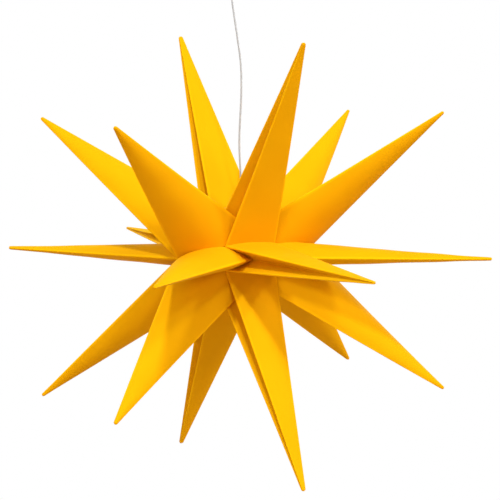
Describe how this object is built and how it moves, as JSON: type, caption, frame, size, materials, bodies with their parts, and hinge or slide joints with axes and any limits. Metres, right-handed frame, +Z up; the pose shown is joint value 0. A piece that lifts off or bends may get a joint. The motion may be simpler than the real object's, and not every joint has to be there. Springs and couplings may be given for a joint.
{
  "type": "led christmas star",
  "caption": "Hanging folding star of yellow plastic sheet with long pointed rays round a horizontal axis, a lamp inside and a thin pale cord that ends in a hanging eye.",
  "frame": {"origin": "centre of the hanger's eye, on the vertical axis of the star", "axes": "+Z up along the cord, X along the star's own axis between its two ends, Y across, along the widest pair of rays"},
  "size_m": [0.4268, 0.57, 0.6655],
  "materials": {
    "star_sheet": "satin",
    "clip_plastic": "satin",
    "soft_rubber": "matt",
    "hanger_plastic": "satin",
    "screw_steel": "satin",
    "socket_plastic": "satin",
    "contact_metal": "polished",
    "boot_rubber": "matt",
    "cord_sheath": "clear and glossy",
    "lamp_plastic": "satin",
    "board_laminate": "satin",
    "light_chip": "gloss",
    "diffuser_plastic": "frosted"
  },
  "bodies": {
    "hanger": {"hanger_front": "hanger_plastic", "hanger_back": "hanger_plastic", "hanger_screws": "screw_steel", "inlet_socket": "socket_plastic", "inlet_contact": "contact_metal", "cord_boot": "boot_rubber", "cord": "cord_sheath", "cord_tail": "cord_sheath", "lamp_cap": "lamp_plastic", "cord_grip": "lamp_plastic", "led_board": "board_laminate", "led_chips": "light_chip", "lead_wires": "contact_metal", "lamp_diffuser": "diffuser_plastic"},
    "star": {"ray_mid_1": "star_sheet", "ray_mid_2": "star_sheet", "ray_mid_3": "star_sheet", "ray_mid_4": "star_sheet", "ray_mid_5": "star_sheet", "ray_mid_6": "star_sheet", "ray_right_1": "star_sheet", "ray_right_2": "star_sheet", "ray_right_3": "star_sheet", "ray_right_4": "star_sheet", "ray_right_5": "star_sheet", "ray_right_6": "star_sheet", "ray_left_1": "star_sheet", "ray_left_2": "star_sheet", "ray_left_3": "star_sheet", "ray_left_4": "star_sheet", "ray_left_5": "star_sheet", "ray_left_6": "star_sheet", "seam_clip": "clip_plastic", "seam_block": "clip_plastic", "gland_bolt": "clip_plastic", "gland_seal": "soft_rubber", "gland_nut": "clip_plastic"}
  },
  "joints": [
    {"name": "star_turn", "type": "hinge", "parent": "hanger", "child": "star", "pos_m": [0, 0, -0.406], "axis": [0, 0, 1], "continuous": true}
  ]
}
